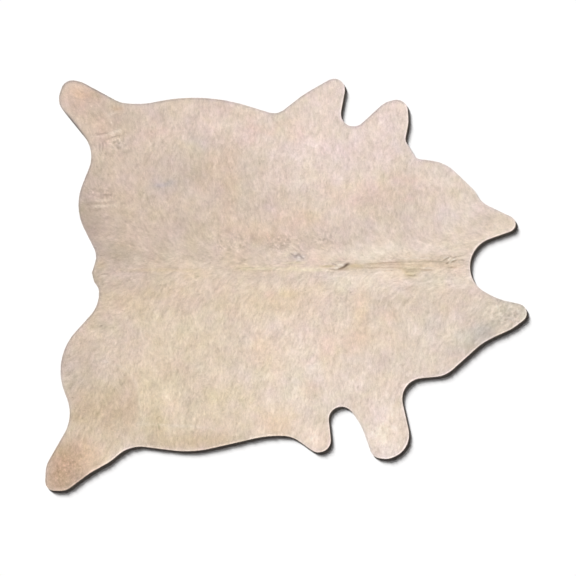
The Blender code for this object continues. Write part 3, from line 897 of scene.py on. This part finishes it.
def triangles_within(line, inner):
    """Triangles over the line's points, which come first, and the inner ones, all facing up."""
    flat = [Vector(point) for point in np.vstack((line, inner)).tolist()]
    around = list(range(len(line)))
    inside_only, nearest = 1, 1e-7
    _, _, faces, origins, _, _ = delaunay_2d_cdt(flat, [], [around[::-1]], inside_only, nearest)
    named = np.array([origin[0] for origin in origins])
    return named[np.array(faces)]


def split(places, triangles):
    """Each triangle cut into four at the middles of its sides."""
    sides = np.sort(np.concatenate((triangles[:, [0, 1]], triangles[:, [1, 2]], triangles[:, [2, 0]])), axis=1)
    unique, index = np.unique(sides, axis=0, return_inverse=True)
    middles = len(places) + index.reshape(3, -1)
    places = np.vstack((places, places[unique].mean(axis=1)))
    a, b, c = triangles.T
    ab, bc, ca = middles
    parts = ((a, ab, ca), (ab, b, bc), (ca, bc, c), (ab, bc, ca))
    return places, np.concatenate([np.stack(part, axis=1) for part in parts])


def rim_loop(triangles):
    """The corners round the outside of the triangles, in order, anticlockwise."""
    sides = {(a, b) for t in triangles.tolist() for a, b in ((t[0], t[1]), (t[1], t[2]), (t[2], t[0]))}
    return np.array(border(sides, min))


def net(step):
    """Places one step apart over the whole hide, with every other row shifted."""
    across = np.arange(HIDE_LOW.x, HIDE_HIGH.x, step)
    up = np.arange(HIDE_LOW.y, HIDE_HIGH.y, step * math.sqrt(3) / 2)
    x, y = np.meshgrid(across, up)
    x[1::2] += step / 2
    return np.column_stack((x.ravel(), y.ravel()))


def sheet_piece(hair, suede):
    """The whole skin as one closed sheet: coat above, cut edge and flat flesh side."""
    line, inner = inset(EDGE, COAT_INSET), net(SHEET_STEP)
    inner = inner[at(DISTANCE, inner) > NET_INSET]
    places, top = np.vstack((line, inner)), triangles_within(line, inner)
    places, top = split(*split(places, top))
    heights = coat_height(places) - LOCK_ROOM
    points = [np.column_stack((places, heights))]

    above = rim_loop(top)
    edge = places[above][::-1]
    count = len(places)
    coat_faces = len(top)
    faces = [top]
    for _, distance, height in RIM:
        ring = inset(edge, distance * MM - COAT_INSET)[::-1]
        points.append(np.column_stack((ring, np.full(len(ring), height * MM))))
        below = np.arange(count, count + len(ring))
        count += len(ring)
        a, b = above, np.roll(above, -1)
        c, d = np.roll(below, -1), below
        faces += [np.stack((a, d, c), axis=1), np.stack((a, c, b), axis=1)]
        above = below
    flesh_line = points[-1][::-1, :2]
    flesh = triangles_within(flesh_line, np.empty((0, 2)))
    faces.append((count - 1 - flesh)[:, ::-1])
    points, faces = np.vstack(points), np.concatenate(faces)

    piece = mesh_object("hide", points, faces, (hair, suede))
    mesh = piece.data
    slots = np.ones(len(faces), np.int32)
    slots[: coat_faces + 2 * len(above)] = 0
    mesh.polygons.foreach_set("material_index", slots)
    mesh.set_sharp_from_angle(angle=SHARP_BEND)
    paint(mesh, np.clip(at(COLOUR, points[:, :2]) * UNDER_COAT_SHARE, 0, 1))
    span = HIDE_HIGH.y - HIDE_LOW.y + MAP_SPARE
    spot = (points[:, :2] - (HIDE_LOW.x - MAP_MARGIN, HIDE_LOW.y - MAP_MARGIN)) / (2 * span)
    corners = spot[faces.ravel()]
    corners[np.repeat(slots == 0, 3), 1] += 0.5
    lay_out(mesh, "OFBake", corners)
    return piece


def strewn():
    """Places about LOCK_STEP apart over the whole hide."""
    places = net(LOCK_STEP)
    return places + rng.uniform(-0.5, 0.5, places.shape) * LOCK_STEP


def lock_roots():
    """Where the locks grow: evenly strewn inside the edge, and twice as many in the band along it."""
    everywhere, more = strewn(), strewn()
    along_edge = more[at(DISTANCE, more) < EDGE_BAND]
    roots = np.vstack((everywhere, along_edge))
    return roots[at(DISTANCE, roots) > ROOT_INSET]


def mark_locks():
    """Roots and headings of the locks that lie along the thin marks."""
    roots, headings = [np.empty((0, 2))], [np.empty((0, 2))]
    for _, _, *ends, bow, half_width in rows(MARKS):
        start, length, along, left = course(*ends)
        count = round(length * LOCKS_ALONG_MARK) if half_width <= THIN_MARK else 0
        share = rng.uniform(0, 1, count)[:, None]
        spread = rng.normal(0, MARK_SPREAD, share.shape) * half_width * MM
        sway = rng.normal(0, MARK_SWAY, share.shape)
        aside = bow * MM * np.sin(math.pi * share) + spread
        slant = bow * MM * math.pi / length * np.cos(math.pi * share) + sway
        heading = (along + slant * left) / np.hypot(1, slant)
        roots.append(start + share * length * along + aside * left - heading * LOCK_LENGTH[0] / 2)
        headings.append(heading)
    return np.vstack(roots), np.vstack(headings)


def locks(roots, headings=None):
    """Four points for each lock, root, left, right and tip, with their colours and their places on the lock.

    The locks lie as the coat does, or on top of it along their own headings.
    """
    count = len(roots)
    crimp = at(CRIMP, roots)
    length = rng.uniform(*LOCK_LENGTH, count) * (1 - np.minimum(CRIMP_SHORTER * crimp, MOST_SHORTER))
    width = rng.uniform(*LOCK_WIDTH, count)
    stray = rng.normal(0, LOCK_STRAY, count)
    rise = 0.0
    if headings is None:
        length = np.minimum(length, np.maximum(EDGE_SHARE * at(DISTANCE, roots), EDGE_LOCK))
        heading = turned(at(LIE, roots), stray)
    else:
        length, stray, heading, rise = MARK_LENGTH * length, MARK_STRAY * stray, headings, MARK_RISE
    for _ in range(2):
        tip = roots + heading * length[:, None]
        past = np.clip(-OVERHANG * rng.uniform(*OVERHANG_SHARES, count) - at(DISTANCE, tip), 0, None)
        length = np.maximum(length - CUT_BACK * past, SHORTEST_LOCK)
    middle = roots + heading * (WIDEST * length)[:, None]
    later = turned(at(LIE, middle) if headings is None else headings, stray + rng.normal(0, TIP_STRAY, count))
    tip = middle + later * ((1 - WIDEST) * length)[:, None]
    side = np.stack((-heading[:, 1], heading[:, 0]), axis=1) * (width / 2)[:, None]
    left, right = middle + side, middle - side

    size = length / LOCK_LENGTH[1]
    lift = rng.uniform(*TIP_LIFT, count) * size * MM
    tilt = rng.normal(0, SIDE_TILT, count) * MM
    base = rise - LOCK_ROOM
    half_lift = WIDEST * lift - MIDDLE_SINK
    corners = (roots, left, right, tip)
    raised = (-ROOT_SINK * size, half_lift + tilt, half_lift - tilt, lift)
    points = np.stack([
        np.column_stack((corner, np.maximum(coat_height(corner) + base + more, LOWEST_HAIR)))
        for corner, more in zip(corners, raised)
    ], axis=1)

    own = (1 + rng.normal(0, 1, count) * (LOCK_VARIETY + CRIMP_VARIETY * crimp))[:, None]
    shades = np.stack([at(COLOUR, corner) * own * share for corner, share in zip(corners, LOCK_SHADES)], axis=1)
    offset = rng.uniform(0, 1, (count, 2))
    on_lock = np.stack([offset + step for step in ((0.5, 0), (0, WIDEST), (1, WIDEST), (0.5, 1))], axis=1)
    return points, np.clip(shades, 0, 1), on_lock


def coat_pieces(hair):
    """The locks as joined meshes, one for each stretch of the back."""
    lying, marking = locks(lock_roots()), locks(*mark_locks())
    points, shades, on_lock = (np.concatenate(parts) for parts in zip(lying, marking))
    from_tail = np.argsort(points[:, 0, 0])
    pieces = []
    for name, chosen in zip(COAT_PIECES, np.array_split(from_tail, len(COAT_PIECES))):
        order = rng.permutation(chosen)
        places = points[order].reshape(-1, 3)
        first = np.arange(len(order))[:, None] * 4
        triangles = np.concatenate((first + (0, 2, 3), first + (0, 3, 1)))
        piece = mesh_object(name, places, triangles, (hair,))
        paint(piece.data, shades[order].reshape(-1, 3))
        low = places[:, :2].min(axis=0)
        span = (places[:, :2].max(axis=0) - low).max()
        lay_out(piece.data, "OFBake", ((places[:, :2] - low) / span)[triangles.ravel()])
        lay_out(piece.data, "on_lock", on_lock[order].reshape(-1, 2)[triangles.ravel()])
        pieces.append(piece)
    return pieces


# Materials

def shader_material(name, roughness, specular, sheen=0, sheen_roughness=0.5):
    material = bpy.data.materials.new(name)
    material.use_nodes = True
    shader = material.node_tree.nodes["Principled BSDF"]
    shader.inputs["Roughness"].default_value = roughness
    shader.inputs["Metallic"].default_value = 0.0
    shader.inputs["Specular IOR Level"].default_value = specular
    shader.inputs["Sheen Weight"].default_value = sheen
    shader.inputs["Sheen Roughness"].default_value = sheen_roughness
    return material, material.node_tree, shader


def add(tree, kind, inputs=None, **settings):
    """A node with its settings, and its inputs either set or linked."""
    node = tree.nodes.new(kind)
    for key, value in settings.items():
        setattr(node, key, value)
    for key, value in (inputs or {}).items():
        if isinstance(value, bpy.types.NodeSocket):
            tree.links.new(value, node.inputs[key])
        else:
            node.inputs[key].default_value = value
    return node


def shades_of_grey(tree, factor, low, high):
    """A grey between two lights, by a factor from 0 to 1."""
    return add(tree, "ShaderNodeMapRange", {"Value": factor, "To Min": low, "To Max": high}).outputs["Result"]


def multiplied(tree, colour, grey):
    return add(tree, "ShaderNodeVectorMath", {0: colour, 1: grey}, operation="MULTIPLY").outputs["Vector"]


def noise_node(tree, vector, scale, detail):
    return add(tree, "ShaderNodeTexNoise", {"Vector": vector, "Scale": scale, "Detail": detail}).outputs["Fac"]


def object_noise(tree, scale, detail):
    """Noise that stays in place on the piece."""
    return noise_node(tree, add(tree, "ShaderNodeTexCoord").outputs["Object"], scale, detail)


def own_colour(tree):
    """The colour that is painted on the piece's points."""
    return add(tree, "ShaderNodeAttribute", attribute_name="coat_colour").outputs["Color"]


def dress(tree, shader, colour, height, strength, distance):
    """The shader's colour, and its fine bumps from a height."""
    bump = add(tree, "ShaderNodeBump", {"Height": height, "Strength": strength, "Distance": distance})
    tree.links.new(bump.outputs["Normal"], shader.inputs["Normal"])
    tree.links.new(colour, shader.inputs["Base Color"])


def hair_material():
    """Lying cow hair: each lock's own colour, with fine strands along it and a soft sheen."""
    material, tree, shader = shader_material(
        "cowhide_hair", roughness=0.62, specular=0.35, sheen=0.18, sheen_roughness=0.45)
    on_lock = add(tree, "ShaderNodeUVMap", uv_map="on_lock").outputs["UV"]
    drawn = add(tree, "ShaderNodeMapping", {"Vector": on_lock, "Scale": (9, 0.8, 1)}).outputs["Vector"]
    strands = noise_node(tree, drawn, scale=1.0, detail=2.0)
    dust = object_noise(tree, scale=70.0, detail=3.0)
    colour = multiplied(tree, own_colour(tree), shades_of_grey(tree, strands, 0.86, 1.14))
    colour = multiplied(tree, colour, shades_of_grey(tree, dust, 0.93, 1.07))
    tree.links.new(shades_of_grey(tree, strands, 0.52, 0.74), shader.inputs["Roughness"])
    dress(tree, shader, colour, strands, strength=0.35, distance=0.0004)
    return material


def under_coat_material():
    """The short hair under the locks, fine and matt."""
    material, tree, shader = shader_material(
        "under_coat", roughness=0.80, specular=0.25, sheen=0.15, sheen_roughness=0.5)
    fine = object_noise(tree, scale=420.0, detail=4.0)
    colour = multiplied(tree, own_colour(tree), shades_of_grey(tree, fine, 0.78, 1.12))
    dress(tree, shader, colour, fine, strength=0.6, distance=0.0006)
    return material


def suede_material():
    """The flesh side and the cut edge: napped suede with soft uneven tone."""
    material, tree, shader = shader_material(
        "cowhide_suede", roughness=0.92, specular=0.2, sheen=0.25, sheen_roughness=0.6)
    ramp = add(tree, "ShaderNodeValToRGB", {"Fac": object_noise(tree, scale=5.0, detail=4.0)})
    for end, (position, shares) in zip(ramp.color_ramp.elements, SUEDE_ENDS):
        end.position = position
        end.color = (*(linear(SUEDE) * shares), 1)
    nap = object_noise(tree, scale=900.0, detail=3.0)
    colour = multiplied(tree, ramp.outputs["Color"], shades_of_grey(tree, nap, 0.88, 1.10))
    dress(tree, shader, colour, nap, strength=0.5, distance=0.0003)
    return material


# Camera, floor and lights

def add_camera():
    data = bpy.data.cameras.new("camera")
    data.sensor_width = SENSOR_WIDTH
    data.lens = SENSOR_WIDTH * (CAMERA_HEIGHT - SKIN - COAT) / (PHOTO_SIZE * PIXEL)
    data.clip_end = 100
    camera = bpy.data.objects.new("camera", data)
    camera.location = (*VIEW_CENTRE, CAMERA_HEIGHT)
    bpy.context.scene.collection.objects.link(camera)
    bpy.context.scene.camera = camera


def add_floor():
    corners = np.array([(-1, -1, 0), (1, -1, 0), (1, 1, 0), (-1, 1, 0)]) * float(FLOOR_HALF_SIZE)
    material, _, shader = shader_material("floor", roughness=0.9, specular=0.1)
    shader.inputs["Base Color"].default_value = (FLOOR, FLOOR, FLOOR, 1)
    floor = mesh_object("floor", corners, np.array(((0, 1, 2), (0, 2, 3))), (material,))
    floor.location.z = -FLOOR_DROP
    return floor


def sun(name, azimuth, elevation, spread, share, lit):
    """A distant soft light, which gives the lit pieces alone that share of full light where they are level."""
    data = bpy.data.lights.new(name, "SUN")
    data.energy = share * math.pi / math.sin(math.radians(elevation))
    data.angle = math.radians(spread)
    lamp = bpy.data.objects.new(name, data)
    a, e = math.radians(azimuth), math.radians(elevation)
    towards = Vector((math.cos(a) * math.cos(e), math.sin(a) * math.cos(e), math.sin(e)))
    lamp.rotation_euler = towards.to_track_quat("Z", "Y").to_euler()
    bpy.context.scene.collection.objects.link(lamp)
    group = bpy.data.collections.new(name + "_lights")
    for piece in lit:
        group.objects.link(piece)
    lamp.light_linking.receiver_collection = group


def add_world(lighting, seen):
    """Pale surroundings that give a little warm light all round."""
    world = bpy.data.worlds.new("studio")
    world.use_nodes = True
    tree = world.node_tree
    tree.nodes.clear()
    dim = add(tree, "ShaderNodeBackground", {"Color": WARM_LIGHT, "Strength": lighting})
    bright = add(tree, "ShaderNodeBackground", {"Color": (1, 1, 1, 1), "Strength": seen})
    factor = add(tree, "ShaderNodeLightPath").outputs["Is Camera Ray"]
    mix = add(tree, "ShaderNodeMixShader", {0: factor, 1: dim.outputs[0], 2: bright.outputs[0]})
    add(tree, "ShaderNodeOutputWorld", {"Surface": mix.outputs[0]})
    bpy.context.scene.world = world


hair = hair_material()
hide = sheet_piece(under_coat_material(), suede_material())
coats = coat_pieces(hair)
pieces = [hide] + coats

for piece in pieces:
    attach(piece, "root")
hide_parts("cowhide")

add_camera()
floor = add_floor()
for lights, lit in ((COAT_LIGHTS, pieces), (FLOOR_LIGHTS, [floor])):
    for light in lights:
        sun(*light, lit)
add_world(lighting=0.04, seen=1.0)
bpy.context.scene.view_settings.view_transform = "Standard"
